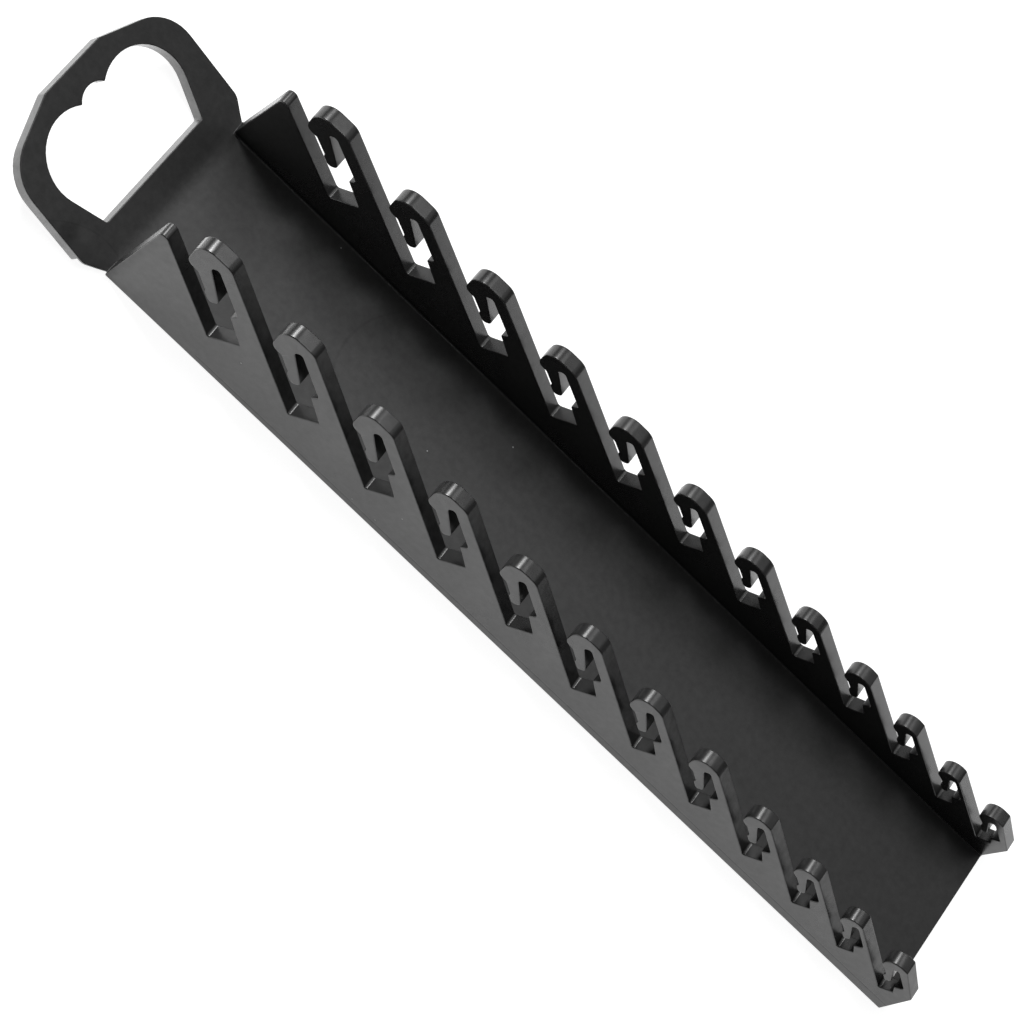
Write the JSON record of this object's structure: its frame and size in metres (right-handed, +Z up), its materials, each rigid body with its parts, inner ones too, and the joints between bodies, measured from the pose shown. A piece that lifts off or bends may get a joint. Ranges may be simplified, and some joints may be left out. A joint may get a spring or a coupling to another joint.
{
  "type": "wrench rack",
  "caption": "Moulded channel rack that grips a row of combination wrenches by their shafts in slanting hooked slots, with a carrying handle at one end.",
  "frame": {"origin": "on the underside, in the middle plane, under the end of the walls at the handle", "axes": "+X along the channel towards the smallest slot, +Y across it, +Z up; the handle lies towards -X"},
  "size_m": [0.4443, 0.0894, 0.061],
  "materials": {
    "black_plastic": "satin as moulded"
  },
  "bodies": {
    "root": {"rack_body": "black_plastic"}
  },
  "joints": []
}
